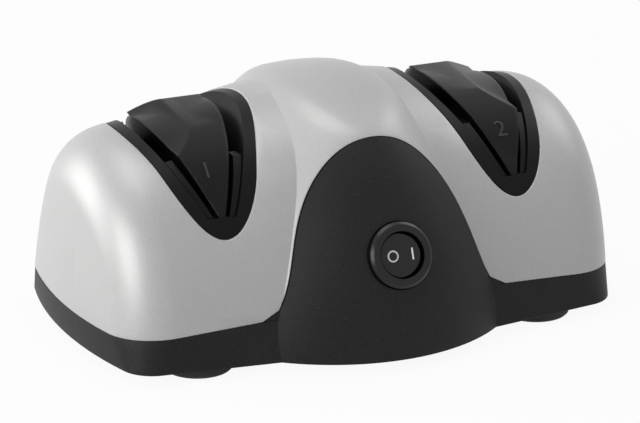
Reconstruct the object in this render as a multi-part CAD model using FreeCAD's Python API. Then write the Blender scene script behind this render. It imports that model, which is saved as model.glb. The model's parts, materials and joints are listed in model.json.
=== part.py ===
import FreeCAD, Part
import math
import os

V = FreeCAD.Vector
QUARTERS = ((-1, -1), (-1, 1), (1, -1), (1, 1))

# An electric knife sharpener with two sharpening stages, in millimetres.
# X runs along it from stage 1 to stage 2, Y from front to back and Z up.
# The origin is on the table under the middle.

# Shells
FOOT_HEIGHT = 4.0
SEAM_Z = 20.2
SEAM_FALL = 0.062
SEAM_LEVEL_X = 50.0
WALL = 2.5
FLOOR = 2.5

# Lobes: a loaf section that tapers outwards and is rounded over its end wall.
CREST_AT_CENTRE = 96.7
CREST_FALL = 0.153
CREST_Y = 2.0
CROWN_RADIUS_FRONT = 60.5
CROWN_BACK_AT_CENTRE = 66.0
CROWN_BACK_FALL = 0.25
CROWN_HALF_ANGLE = 59.7
SEAM_FRONT = 66.6
SEAM_BACK = 63.0
SEAM_TAPER = 0.07
END_X = 111.7
END_BOW_RADIUS = 200.0
END_LEAN = 4.0
END_ROUND = 24.0

# Base outline at its lower edge and just above the seam:
# depth at x = 0 in front, depth behind, taper, end, end bow radius, corner radius.
BASE_LOW = (FOOT_HEIGHT, 73.5, 71.0, 0.134, 111.1, 200.0, 14.0)
BASE_HIGH = (24.0, 65.1, 61.6, 0.058, 112.1, 200.0, 30.0)

# Dome: ellipses that shrink on an arc, closed by a large crown.
DOME_LEVELS = (4.0, 20.2, 45.0, 67.5, 79.3, 90.0, 101.0)
DOME_ARC_RADIUS = 114.0
DOME_ARC_Y = 30.0
DOME_ARC_Z = 2.0
DOME_WIDTH_RATIO = 0.93
DOME_WIDTH_FALL = 0.0032
DOME_TOP = 97.5
DOME_CROWN_RADIUS = 100.0
DOME_CROWN_ROUND = 22.0

# Arch of the front panel, right half as x and z, from the seam to the top.
ARCH_POINTS = ((51.5, 20.2), (44.9, 23.6), (41.6, 31.0), (34.3, 53.1), (20.8, 74.0), (0.0, 83.5))
PART_GAP = 0.25

# Sharpening stages, measured along X from the middle of a stage.
STAGE_X = 62.4
SADDLE_BOTTOM = 52.0
SADDLE_WIDTH_RULE = 15.4
SADDLE_REACH = 45.0
SADDLE_STEPS = 8
SADDLE_RECESS = 0.3
SADDLE_FLANGE = 3.0
FLANGE_THICK = 1.8
SLOT_FLOOR = 59.2
INNER_WALL = (1.1, 0.44)
OUTER_WALL = (5.6, 0.52)
RIDGE_BACK = (12.5, 88.9)
RIDGE_CLIMB = 0.1
ROOF_IN_FALL = 0.03
ROOF_OUT_FALL = 0.45
ROOF_FRONT_Y = -5.0
ROOF_FRONT_RADIUS = 45.0
ROOF_BACK_RADIUS = 6.0
ROOF_LIFT = 0.2
FLARE_Z = 75.0
SADDLE_FLARE_IN = 0.015
SADDLE_FLARE_OUT = 0.03
WALL_FLARE = 0.01
STEM_Y = 38.0
STEM_DEPTH = 4.6
LEAF_FOOT_THICK = 2.2
LEAF_TOP_THICK = 3.2
LEAF_GAP = 0.3
LEAF_RECESS = 0.8
WINDOW_HALF = 26.0
LEAF_TOP = 77.5

# Grinding wheels on the drive shaft.
SHAFT_Z = 40.0
SHAFT_RADIUS = 3.0
SHAFT_END = 94.0
RUNNING = 0.05
WHEEL_NEAR = 3.6
WHEEL_CONE_FAR = 11.5
WHEEL_FAR = 14.5
WHEEL_SMALL_RADIUS = 20.8
WHEEL_RADIUS = 29.5
HUB_RADIUS = 9.0
RECESS_RADIUS = 14.0
WEB_U = 8.0
HUB_NEAR = 6.0
HUB_FAR = 15.5
HUB_FLANGE_RADIUS = 12.5
WHEEL_TRAVEL = 1.5
WHEEL_CLEAR = 1.2
PIN_U = 9.0
PIN_RADIUS = 1.0
PIN_HALF = 6.5
SPRING_RADIUS = 4.8
SPRING_WIRE = 0.45
SPRING_TURNS = 3
RING_U = 22.0
RING_THICK = 1.0
RING_RADIUS = 5.6

# Motor
STATOR_HALF = 11.0
ROTOR_RADIUS = 13.6
AIR_GAP = 0.4
STATOR_FRONT = -25.0
STATOR_BACK = 48.0
STATOR_LOW = 18.0
STATOR_HIGH = 62.0
LIMB_FRONT = 36.0
WINDOW_LOW = 26.0
WINDOW_HIGH = 54.0
COIL_BUILD = 8.5
BOLT_SPREAD = 17.3
BOLT_RADIUS = 2.0
BRACKET_X = 18.0
BRACKET_THICK = 2.5
BUSH_RADIUS = 5.0
BUSH_HALF = 3.0
MOTOR_FOOT_Z = 12.0
FLANGE_HEIGHT = 3.0
MOTOR_SCREWS = (26.0, 18.0)
POST_X = 89.0
POST_HALF = 2.5
POST_FOOT_Z = 9.0
POST_SCREWS = (89.0, 13.0)
SMALL_SCREW = 1.4

# Switch on the front panel
SWITCH_Z = 44.0
SWITCH_LEAN = 21.5
BEZEL_RADIUS = 12.9
BEZEL_PROUD = 1.6
BEZEL_SUNK = 2.0
BARREL_RADIUS = 10.3
BARREL_DEPTH = 16.0
ROCKER_RADIUS = 9.0
ROCKER_GAP = 0.2
ROCKER_TILT = 11.0
ROCKER_BALL = 9.6
PIVOT_DEPTH = 4.0
PIVOT_RADIUS = 1.3
PIVOT_GAP = 0.1

# Feet, screws and cord gland
FOOT_RADIUS = 13.7
FOOT_PLUG_RADIUS = 3.5
FOOT_SPOTS = ((73.0, -48.0), (73.0, 45.0))
SCREW_SPOTS = ((96.0, -33.0), (96.0, 33.0))
SCREW_RADIUS = 1.7
BOSS_RADIUS = 4.2
GLAND_Z = 12.0
GLAND_BORE = 3.2
GLAND_RADIUS = 5.0
GLAND_FLANGE = 7.0
GLAND_SEAT_Y = 82.3


def arc(p, q, r):
    return Part.Arc(p, q, r).toShape()


def line(p, q):
    return Part.LineSegment(p, q).toShape()


def polygon(points):
    return Part.Face(Part.makePolygon(list(points) + [points[0]]))


def prism_along_y(points, y0=-120.0, y1=120.0):
    """Solid whose outline in the XZ plane is given as x, z pairs."""
    return polygon([V(x, y0, z) for x, z in points]).extrude(V(0, y1 - y0, 0))


def mirrored_x(shape):
    return shape.mirror(V(0, 0, 0), V(1, 0, 0))


def cylinder_x(radius, x0, x1, y=0.0, z=SHAFT_Z):
    return Part.makeCylinder(radius, x1 - x0, V(x0, y, z), V(1, 0, 0))


def cylinder_z(radius, z0, z1, x, y):
    return Part.makeCylinder(radius, z1 - z0, V(x, y, z0), V(0, 0, 1))


def cylinder_y(radius, y0, y1, x=0.0, z=GLAND_Z):
    return Part.makeCylinder(radius, y1 - y0, V(x, y0, z), V(0, 1, 0))


def box(x0, x1, y0, y1, z0, z1):
    return Part.makeBox(x1 - x0, y1 - y0, z1 - z0, V(x0, y0, z0))


def turned_x(profile):
    """Solid turned about the shaft from x, radius pairs."""
    face = polygon([V(x, 0, SHAFT_Z + r) for x, r in profile])
    return face.revolve(V(0, 0, SHAFT_Z), V(1, 0, 0), 360)


# Outer forms

def seam_height(x):
    return SEAM_Z - SEAM_FALL * max(0.0, abs(x) - SEAM_LEVEL_X)


def below_seam():
    far = 140.0
    outline = [(-far, seam_height(far)), (-SEAM_LEVEL_X, SEAM_Z), (SEAM_LEVEL_X, SEAM_Z),
               (far, seam_height(far)), (far, -10.0), (-far, -10.0)]
    return prism_along_y(outline)


def tangent_arc_middle(start, direction, end):
    """Middle point of the arc that leaves start along direction and reaches end."""
    chord = end - start
    turn = direction.getAngle(chord)
    sag = chord.Length / 2 * math.tan(turn / 2)
    side = direction - chord * (direction.dot(chord) / chord.dot(chord))
    side.normalize()
    return start + chord * 0.5 + side * sag


def loaf_side(x, inset, depth, side, foot_z):
    """Edges from the foot of one long side up to the crest line, and the foot."""
    outer_radius = CROWN_RADIUS_FRONT if side < 0 else CROWN_BACK_AT_CENTRE - CROWN_BACK_FALL * x
    centre_z = CREST_AT_CENTRE - CREST_FALL * x - outer_radius
    radius = outer_radius - inset
    angle = math.radians(CROWN_HALF_ANGLE)
    join = V(x, CREST_Y + side * radius * math.sin(angle), centre_z + radius * math.cos(angle))
    half = angle / 2
    crown_mid = V(x, CREST_Y + side * radius * math.sin(half), centre_z + radius * math.cos(half))
    top = V(x, CREST_Y, centre_z + radius)
    foot = V(x, side * (depth - SEAM_TAPER * x - inset), foot_z)
    leaving = V(0, side * math.cos(angle), -math.sin(angle))
    middle = tangent_arc_middle(join, leaving, foot)
    return [arc(foot, middle, join), arc(join, crown_mid, top)], foot


def lobe_section(x, inset):
    """Closed loaf outline in the plane at x."""
    foot_z = SEAM_Z - SEAM_FALL * (x - SEAM_LEVEL_X)
    front, foot_front = loaf_side(x, inset, SEAM_FRONT, -1, foot_z)
    back, foot_back = loaf_side(x, inset, SEAM_BACK, 1, foot_z)
    return Part.Wire(front + back[::-1] + [line(foot_back, foot_front)])


def end_prism(inset):
    """Everything inside the bowed and leaning end wall of the right lobe."""
    reach = 90.0
    low = 0.0
    rise = 140.0
    slope = math.tan(math.radians(END_LEAN))
    sag = END_BOW_RADIUS - math.sqrt(END_BOW_RADIUS ** 2 - reach ** 2)
    edge_x = END_X - inset + slope * seam_height(END_X)
    corner_f = V(edge_x - sag, -reach, low)
    corner_b = V(edge_x - sag, reach, low)
    inner_b = V(-60, reach, low)
    inner_f = V(-60, -reach, low)
    bow = arc(corner_f, V(edge_x, 0, low), corner_b)
    face = Part.Face(Part.Wire([bow, line(corner_b, inner_b), line(inner_b, inner_f), line(inner_f, corner_f)]))
    return face.extrude(V(-slope * rise, 0, rise))


def on_end_arch(edge):
    """True for the edges that run up and over the end wall, and not for its foot."""
    middle = edge.valueAt((edge.FirstParameter + edge.LastParameter) / 2)
    if min(v.Point.x for v in edge.Vertexes) < 60:
        return False
    return middle.z > seam_height(END_X) + 1.0


def right_lobe(inset):
    loaf = Part.makeLoft([lobe_section(x, inset) for x in (0.0, 125.0)], True, True)
    body = loaf.common(end_prism(inset))
    return body.makeFillet(END_ROUND - inset, [e for e in body.Edges if on_end_arch(e)])


def deepened(body, drop):
    """The body with its flat underside drawn down by drop."""
    low = min(body.Faces, key=lambda f: f.CenterOfMass.z)
    return body.fuse(low.extrude(V(0, 0, -drop)))


def dome(inset, bottom):
    wires = []
    for z in DOME_LEVELS:
        depth = math.sqrt(DOME_ARC_RADIUS ** 2 - (z - DOME_ARC_Z) ** 2) - DOME_ARC_Y
        width = depth * (DOME_WIDTH_RATIO - DOME_WIDTH_FALL * z)
        ellipse = Part.Ellipse(V(0, depth - inset, z), V(width - inset, 0, z), V(0, 0, z))
        wires.append(Part.Wire([ellipse.toShape()]))
    body = Part.makeLoft(wires, True, False)
    crown = Part.makeSphere(DOME_CROWN_RADIUS - inset, V(0, 0, DOME_TOP - DOME_CROWN_RADIUS))
    body = body.common(crown)
    rim = [e for e in body.Edges if e.BoundBox.ZMin > 75 and e.BoundBox.YLength > 30]
    body = body.makeFillet(DOME_CROWN_ROUND, rim)
    return body.cut(box(-150, 150, -150, 150, -10, bottom))


def upper_form(inset, drop):
    right = deepened(right_lobe(inset), drop)
    return right.fuse([mirrored_x(right), dome(inset, SEAM_Z - drop)])


def base_outline(z, front, back, taper, end_x, bow, corner, inset):
    """Right half of the base outline, from the middle of the front to the middle of the back."""
    edges = []
    slant = math.hypot(1.0, taper)
    centre_x = end_x - bow
    sides = []
    for side, depth in ((-1, front), (1, back)):
        # The corner circle touches the tapered side and the bowed end from inside.
        reach = bow - corner
        offset = depth - corner * slant
        a = 1.0 + taper ** 2
        b = -2.0 * centre_x - 2.0 * offset * taper
        c = centre_x ** 2 + offset ** 2 - reach ** 2
        cx = (-b + math.sqrt(b * b - 4 * a * c)) / (2 * a)
        cy = offset - taper * cx
        on_side = V(cx + corner * taper / slant, side * (cy + corner / slant), z)
        away = V(cx - centre_x, side * cy, 0)
        away.normalize()
        on_end = V(centre_x, 0, z) + away * bow
        middle_dir = (on_side - V(cx, side * cy, z)).normalize() + (on_end - V(cx, side * cy, z)).normalize()
        middle_dir.normalize()
        middle = V(cx, side * cy, z) + middle_dir * corner
        sides.append((V(0, side * depth, z), on_side, middle, on_end))
    start, on_side, middle, on_end = sides[0]
    edges.append(line(start, on_side))
    edges.append(arc(on_side, middle, on_end))
    back_start, back_side, back_middle, back_end = sides[1]
    edges.append(arc(on_end, V(end_x, 0, z), back_end))
    edges.append(arc(back_end, back_middle, back_side))
    edges.append(line(back_side, back_start))
    edges.append(line(back_start, start))
    return Part.Wire(edges)


def base_form(inset):
    """The tub's lobes, right half, lofted between its lower and upper outlines."""
    wires = []
    for z, front, back, taper, end_x, bow, corner in (BASE_LOW, BASE_HIGH):
        wires.append(base_outline(z, front - inset, back - inset, taper, end_x - inset, bow - inset,
                                  corner - inset, inset))
    right = Part.makeLoft(wires, True, True)
    low_dome = dome(inset, BASE_LOW[0]).common(box(-150, 150, -150, 150, 0, BASE_HIGH[0]))
    return right.fuse([mirrored_x(right), low_dome])


# Panels and inserts

def arch_prism(gap=0.0):
    """Everything inside the arch of the front panel, kept to the front half."""
    half = [V(x + (gap if x > 0 else 0.0), -120, z + (gap if z > SEAM_Z else 0.0)) for x, z in ARCH_POINTS]
    curve = Part.BSplineCurve()
    curve.interpolate(half[1:], InitialTangent=V(-0.55, 0, 1).normalize(), FinalTangent=V(-1, 0, 0))
    right = [line(half[0], half[1]), curve.toShape()]
    left = [mirrored_x(edge) for edge in right]
    low = V(half[0].x, -120, 0)
    low_left = V(-half[0].x, -120, 0)
    start_left = V(-half[0].x, -120, half[0].z)
    ring = right + left + [line(low, half[0]), line(low_left, start_left), line(low_left, low)]
    return Part.Face(Part.Wire(Part.__sortEdges__(ring))).extrude(V(0, 120, 0))


def saddle_prism(widen=0.0):
    """The insert's outline, a parabola that flares at the top, run through from front to back."""
    half = math.sqrt(SADDLE_WIDTH_RULE * SADDLE_REACH)
    points = []
    for step in range(-SADDLE_STEPS, SADDLE_STEPS + 1):
        u = half * step / SADDLE_STEPS
        z = SADDLE_BOTTOM + u * u / SADDLE_WIDTH_RULE
        normal = V(2.0 * u / SADDLE_WIDTH_RULE, 0, -1).normalize()
        flare = flared(SADDLE_FLARE_OUT, z) if u > 0 else -flared(SADDLE_FLARE_IN, z)
        points.append(V(STAGE_X + u + flare, -120, z) + normal * widen)
    curve = Part.BSplineCurve()
    curve.interpolate(points)
    outline = Part.Wire([curve.toShape(), line(points[-1], points[0])])
    return Part.Face(outline).extrude(V(0, 240, 0))


def flared(rate, z):
    """Extra half width where the insert opens out towards its crest."""
    return rate * max(0.0, z - FLARE_Z) ** 2


def wall_u(wall, z):
    start, lean = wall
    return start + lean * (z - SLOT_FLOOR) + flared(WALL_FLARE, z)


def wall_levels():
    """Heights at which the outline of a wall is set, closer where it flares."""
    return [SLOT_FLOOR, FLARE_Z, 79.0, 83.0, 87.0, 91.0, 97.0]


def slot_prism(side):
    """One blade slot, run through from front to back."""
    near = [(wall_u(INNER_WALL, z), z) for z in wall_levels()]
    far = [(wall_u(OUTER_WALL, z), z) for z in wall_levels()]
    return prism_along_y([(STAGE_X + side * u, z) for u, z in near + far[::-1]])


def wedge_prism():
    right = [(wall_u(INNER_WALL, z), z) for z in wall_levels()]
    left = [(-u, z) for u, z in right]
    return prism_along_y([(STAGE_X + u, z) for u, z in right + left[::-1]])


def stem_box():
    half = wall_u(INNER_WALL, SLOT_FLOOR)
    return [box(STAGE_X - half, STAGE_X + half, side * STEM_Y - 4, side * STEM_Y + 4,
                SLOT_FLOOR - STEM_DEPTH, SLOT_FLOOR) for side in (-1, 1)]


def ridge_z(y):
    back_y, back_z = RIDGE_BACK
    return back_z + RIDGE_CLIMB * (y - back_y)


def wedge_roof():
    """Two roof planes that meet at the ridge over stage 2 and climb a little to the back."""
    half = 40.0
    y0 = -60.0
    y1 = 60.0
    z = ridge_z(y0)
    points = [(STAGE_X - half, z + ROOF_IN_FALL * half), (STAGE_X, z), (STAGE_X + half, z - ROOF_OUT_FALL * half),
              (STAGE_X + half, 40.0), (STAGE_X - half, 40.0)]
    gable = polygon([V(x, y0, h) for x, h in points]).extrude(V(0, y1 - y0, RIDGE_CLIMB * (y1 - y0)))
    return gable.common(roof_ends(half))


def roof_ends(half):
    """Rounds the roof off in front and behind: one arc each, joined just above the ridge."""
    back_y = RIDGE_BACK[0]
    front = V(STAGE_X - half, ROOF_FRONT_Y, ridge_z(ROOF_FRONT_Y) + ROOF_LIFT)
    back = V(STAGE_X - half, back_y, ridge_z(back_y) + ROOF_LIFT)
    front_foot = front + V(0, -ROOF_FRONT_RADIUS, -ROOF_FRONT_RADIUS)
    back_foot = back + V(0, ROOF_BACK_RADIUS, -ROOF_BACK_RADIUS)
    swing = math.sqrt(0.5)
    front_mid = front + V(0, -ROOF_FRONT_RADIUS * swing, -ROOF_FRONT_RADIUS * (1 - swing))
    back_mid = back + V(0, ROOF_BACK_RADIUS * swing, -ROOF_BACK_RADIUS * (1 - swing))
    low = V(STAGE_X - half, back_foot.y, front_foot.z)
    outline = Part.Wire([arc(front_foot, front_mid, front), line(front, back), arc(back, back_mid, back_foot),
                         line(back_foot, low), line(low, front_foot)])
    return Part.Face(outline).extrude(V(2 * half, 0, 0))


def build_wedge(recessed_lobe):
    """Blade guide between the two slots of stage 2, with a gabled roof and two stems."""
    return wedge_prism().common(recessed_lobe.fuse(wedge_roof())).fuse(stem_box())


def wheel_pocket():
    """Room in the insert for both wheels of stage 2 over their whole travel."""
    radius = WHEEL_RADIUS + WHEEL_CLEAR
    far = WHEEL_FAR + WHEEL_TRAVEL + WHEEL_CLEAR
    return cylinder_x(radius, STAGE_X - far, STAGE_X + far)


def build_saddle(recessed_lobe, inner_lobe, thinner_lobe):
    """Insert of stage 2 with its two slots, wheel pocket and an inner flange."""
    block = saddle_prism().common(recessed_lobe)
    block = block.common(box(0, 130, -120, 120, SADDLE_BOTTOM - 1, 120))
    flange = saddle_prism(SADDLE_FLANGE).common(inner_lobe).cut(thinner_lobe).cut(saddle_prism(-0.3))
    block = block.fuse(flange)
    block = block.cut([slot_prism(-1), slot_prism(1)])
    block = block.cut([wedge_prism(), *stem_box()])
    return block.cut(wheel_pocket())


def guide_leaf(side, front):
    """Sprung strip on the outer wall of one slot, in front or behind the wheel window."""
    low_wall = wall_u(OUTER_WALL, SLOT_FLOOR) - LEAF_GAP
    top_wall = wall_u(OUTER_WALL, LEAF_TOP) - LEAF_GAP
    outline = [(low_wall - LEAF_FOOT_THICK, SLOT_FLOOR), (low_wall, SLOT_FLOOR),
               (top_wall, LEAF_TOP), (top_wall - LEAF_TOP_THICK, LEAF_TOP)]
    if front:
        return prism_along_y([(STAGE_X + side * u, z) for u, z in outline], -120, -WINDOW_HALF)
    return prism_along_y([(STAGE_X + side * u, z) for u, z in outline], WINDOW_HALF, 120)


# Switch place: depth along the panel's normal, across along X and rise up the panel.

def switch_point(across, rise, depth):
    lean = math.radians(SWITCH_LEAN)
    front = -(math.sqrt(DOME_ARC_RADIUS ** 2 - (SWITCH_Z - DOME_ARC_Z) ** 2) - DOME_ARC_Y)
    y = front - depth * math.cos(lean) + rise * math.sin(lean)
    z = SWITCH_Z + depth * math.sin(lean) + rise * math.cos(lean)
    return V(across, y, z)


def switch_normal():
    return switch_point(0, 0, 1) - switch_point(0, 0, 0)


def switch_disc(radius, low, high):
    return Part.makeCylinder(radius, high - low, switch_point(0, 0, low), switch_normal())


def switch_prism(outline, half):
    """Solid from across and depth pairs, run up the panel by half each way."""
    low = switch_point(0, -half, 0)
    high = switch_point(0, half, 0)
    return polygon([switch_point(a, -half, d) for a, d in outline]).extrude(high - low)


# Housing

def build_upper_housing(outer, inner, seam_side):
    """Silver shell with the cut-outs for the arch panel and both inserts."""
    shell = outer.cut(inner).cut(seam_side)
    shell = shell.cut(arch_prism(PART_GAP))
    saddle = saddle_prism(PART_GAP)
    shell = shell.cut([saddle, mirrored_x(saddle)])
    sockets = []
    for x, y in SCREW_SPOTS:
        for side in (-1, 1):
            post = cylinder_z(BOSS_RADIUS, seam_height(x) + 0.3, 70, side * x, y).common(inner)
            sockets.append(post.cut(cylinder_z(SCREW_RADIUS, 0, seam_height(x) + 12, side * x, y)))
    return shell.fuse(sockets)


def build_base_housing(outer, inner, seam_side):
    """Black tub that carries the works, in one piece with the arch panel."""
    tub = base_form(0).common(seam_side)
    cavity = base_form(WALL).cut(box(-150, 150, -150, 150, 0, FOOT_HEIGHT + FLOOR))
    tub = tub.cut(cavity)
    panel = outer.cut(inner).common(arch_prism()).cut(box(-60, 60, -120, 0, 0, SEAM_Z - 0.01))
    body = tub.fuse(panel)
    floor_z = FOOT_HEIGHT + FLOOR
    adds = []
    cuts = []
    for x, y in SCREW_SPOTS:
        for side in (-1, 1):
            adds.append(cylinder_z(BOSS_RADIUS, floor_z - 0.5, seam_height(x), side * x, y))
            cuts.append(cylinder_z(SCREW_RADIUS + 0.3, 0, 60, side * x, y))
            cuts.append(cylinder_z(3.4, 0, FOOT_HEIGHT + 4.5, side * x, y))
    for (x, y), top in ((MOTOR_SCREWS, MOTOR_FOOT_Z), (POST_SCREWS, POST_FOOT_Z)):
        for dx, dy in QUARTERS:
            adds.append(cylinder_z(4.4, floor_z - 0.5, top, dx * x, dy * y))
            cuts.append(cylinder_z(SMALL_SCREW, floor_z + 1, 40, dx * x, dy * y))
    for x, y in FOOT_SPOTS:
        for side in (-1, 1):
            cuts.append(cylinder_z(FOOT_PLUG_RADIUS, 0, 20, side * x, y))
    adds.append(switch_disc(BEZEL_RADIUS + 2.0, -5.0, 0.0).common(outer))
    cuts.append(switch_disc(BEZEL_RADIUS + 0.25, -BEZEL_SUNK, 20.0))
    cuts.append(switch_disc(BARREL_RADIUS, -20.0, 0.0))
    cuts.append(cylinder_y(GLAND_RADIUS, 40, 100))
    cuts.append(cylinder_y(GLAND_FLANGE + 0.2, GLAND_SEAT_Y, 100))
    return body.fuse(adds).cut(cuts)


# Grinding wheels of stage 2, side +1 faces away from the motor

def stage_profile(side, pairs):
    return turned_x([(STAGE_X + side * u, r) for u, r in pairs])


def build_wheel(side):
    """Abrasive ring with a conical grinding face and a recessed web."""
    bore = HUB_RADIUS + 0.03
    return stage_profile(side, [(WHEEL_NEAR, RECESS_RADIUS), (WHEEL_NEAR, WHEEL_SMALL_RADIUS),
                                (WHEEL_CONE_FAR, WHEEL_RADIUS), (WHEEL_FAR, WHEEL_RADIUS),
                                (WHEEL_FAR, bore), (WEB_U, bore), (WEB_U, RECESS_RADIUS)])


def build_hub(side):
    """Hub that slides on the shaft and is driven by a cross pin in its slot."""
    bore = SHAFT_RADIUS + RUNNING
    hub = stage_profile(side, [(HUB_NEAR, bore), (HUB_NEAR, HUB_FLANGE_RADIUS), (WEB_U, HUB_FLANGE_RADIUS),
                               (WEB_U, HUB_RADIUS), (HUB_FAR, HUB_RADIUS), (HUB_FAR, bore)])
    slot_half = PIN_RADIUS + RUNNING
    ends = sorted((STAGE_X + side * (HUB_NEAR - 1), STAGE_X + side * (PIN_U + PIN_RADIUS + RUNNING)))
    reach = PIN_HALF + 0.3
    return hub.cut(box(ends[0], ends[1], -reach, reach, SHAFT_Z - slot_half, SHAFT_Z + slot_half))


def build_spring(side):
    """Compression spring between a hub and its retaining ring, wound about the shaft."""
    start = HUB_FAR + SPRING_WIRE
    length = RING_U - SPRING_WIRE - start
    helix = Part.makeHelix(length / SPRING_TURNS, length, SPRING_RADIUS)
    corners = [V(SPRING_RADIUS + SPRING_WIRE * math.cos(math.radians(a)), 0, SPRING_WIRE * math.sin(math.radians(a)))
               for a in range(30, 390, 60)]
    section = Part.makePolygon(corners + [corners[0]])
    coil = Part.Wire(helix).makePipeShell([section], True, True)
    coil.rotate(V(0, 0, 0), V(0, 1, 0), 90)
    low = STAGE_X + start if side > 0 else STAGE_X - start - length
    coil.translate(V(low, 0, SHAFT_Z))
    return coil


def both_stages(shapes):
    """The same pieces in stage 1 and stage 2, as one compound of separate solids."""
    return Part.makeCompound(shapes + [mirrored_x(shape) for shape in shapes])


def build_drive_pins():
    pins = [Part.makeCylinder(PIN_RADIUS, 2 * PIN_HALF, V(STAGE_X + side * PIN_U, -PIN_HALF, SHAFT_Z),
                              V(0, 1, 0)) for side in (-1, 1)]
    return both_stages(pins)


def build_retaining_rings():
    rings = []
    for side in (-1, 1):
        ring = stage_profile(side, [(RING_U, SHAFT_RADIUS), (RING_U, RING_RADIUS),
                                    (RING_U + RING_THICK, RING_RADIUS), (RING_U + RING_THICK, SHAFT_RADIUS)])
        x = STAGE_X + side * (RING_U + RING_THICK / 2)
        gap = box(x - 2, x + 2, -1.6, 1.6, SHAFT_Z - RING_RADIUS - 1, SHAFT_Z - 1.0)
        rings.append(ring.cut(gap))
    return both_stages(rings)


def build_drive_shaft():
    shaft = cylinder_x(SHAFT_RADIUS, -SHAFT_END, SHAFT_END)
    shaft = shaft.makeChamfer(0.6, shaft.Edges[0:1] + shaft.Edges[2:3])
    return shaft.cut(build_drive_pins())


# Motor

def build_rotor():
    stack = cylinder_x(ROTOR_RADIUS, -STATOR_HALF, STATOR_HALF)
    rings = cylinder_x(ROTOR_RADIUS - 2.0, -STATOR_HALF - 2.0, STATOR_HALF + 2.0)
    return stack.fuse(rings).cut(cylinder_x(SHAFT_RADIUS, -30, 30))


def limb():
    return box(-STATOR_HALF, STATOR_HALF, LIMB_FRONT, STATOR_BACK, WINDOW_LOW, WINDOW_HIGH)


def bolt_places():
    return [(dy * BOLT_SPREAD, SHAFT_Z + dz * BOLT_SPREAD) for dy, dz in QUARTERS]


def build_stator():
    """Laminated core with the rotor bore, the coil window and two shading notches."""
    core = box(-STATOR_HALF, STATOR_HALF, STATOR_FRONT, STATOR_BACK, STATOR_LOW, STATOR_HIGH)
    core = core.makeFillet(3.0, [e for e in core.Edges if e.BoundBox.XLength > 2 * STATOR_HALF - 1])
    cuts = [cylinder_x(ROTOR_RADIUS + AIR_GAP, -30, 30)]
    window_front = ROTOR_RADIUS + AIR_GAP + 5.5
    cuts.append(box(-30, 30, window_front, LIMB_FRONT, WINDOW_LOW, WINDOW_HIGH))
    cuts += [cylinder_x(BOLT_RADIUS, -30, 30, y, z) for y, z in bolt_places()]
    return core.cut(cuts)


def build_bobbin():
    wall = 1.5
    tube = box(-STATOR_HALF - wall, STATOR_HALF + wall, LIMB_FRONT - wall, STATOR_BACK + wall,
               WINDOW_LOW, WINDOW_HIGH)
    reach = COIL_BUILD + 1.0
    cheeks = [box(-STATOR_HALF - reach, STATOR_HALF + reach, LIMB_FRONT - reach, STATOR_BACK + reach,
                  z, z + wall) for z in (WINDOW_LOW, WINDOW_HIGH - wall)]
    return tube.fuse(cheeks).cut(limb())


def build_coil():
    wall = 1.5
    coil = box(-STATOR_HALF - COIL_BUILD, STATOR_HALF + COIL_BUILD, LIMB_FRONT - COIL_BUILD,
               STATOR_BACK + COIL_BUILD, WINDOW_LOW + wall, WINDOW_HIGH - wall)
    coil = coil.makeFillet(6.0, [e for e in coil.Edges if e.BoundBox.ZLength > 20])
    return coil.cut(box(-STATOR_HALF - wall, STATOR_HALF + wall, LIMB_FRONT - wall, STATOR_BACK + wall,
                        WINDOW_LOW, WINDOW_HIGH))


def build_bracket():
    """Right end bracket with a bush seat, four legs onto the core and a screwed foot."""
    half = STATOR_HIGH - SHAFT_Z
    outer_x = BRACKET_X + BRACKET_THICK
    plate = box(BRACKET_X, outer_x, -half, half, MOTOR_FOOT_Z, STATOR_HIGH)
    plate = plate.makeFillet(8.0, [e for e in plate.Edges if e.BoundBox.XLength > 1 and e.BoundBox.ZMin > 50])
    screw_x, screw_y = MOTOR_SCREWS
    foot = box(BRACKET_X, screw_x + 4.5, -screw_y - 5, screw_y + 5, MOTOR_FOOT_Z, MOTOR_FOOT_Z + FLANGE_HEIGHT)
    seat = cylinder_x(BUSH_RADIUS + 2.5, BRACKET_X - 1.5, BRACKET_X + 2 * BUSH_HALF - 1.5)
    legs = [cylinder_x(3.8, STATOR_HALF, BRACKET_X, y, z) for y, z in bolt_places()]
    bracket = plate.fuse([foot, seat] + legs)
    cuts = [cylinder_x(BUSH_RADIUS, 0, 40)]
    cuts += [cylinder_x(BOLT_RADIUS, 0, 40, y, z) for y, z in bolt_places()]
    cuts += [cylinder_z(SMALL_SCREW, 0, 30, screw_x, dy * screw_y) for dy in (-1, 1)]
    cuts += [cylinder_x(4.0, 15, 25, y, z) for y, z in ((0, SHAFT_Z - 16), (0, SHAFT_Z + 16), (-15, SHAFT_Z), (15, SHAFT_Z))]
    return bracket.cut(cuts)


def build_bush(x0, x1):
    return cylinder_x(BUSH_RADIUS, x0, x1).cut(cylinder_x(SHAFT_RADIUS + RUNNING, x0 - 1, x1 + 1))


def build_motor_bolts():
    """Four through bolts with round heads on the left and hexagon nuts on the right."""
    bolts = []
    end = BRACKET_X + BRACKET_THICK
    for y, z in bolt_places():
        shank = cylinder_x(BOLT_RADIUS, -end, end + 4.0, y, z)
        head = cylinder_x(3.5, -end - 2.4, -end, y, z)
        corners = [V(end, y + 3.9 * math.cos(math.radians(a)), z + 3.9 * math.sin(math.radians(a)))
                   for a in range(0, 360, 60)]
        nut = polygon(corners).extrude(V(3.0, 0, 0))
        bolts.append(shank.fuse([head, nut]))
    return Part.makeCompound(bolts)


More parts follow.
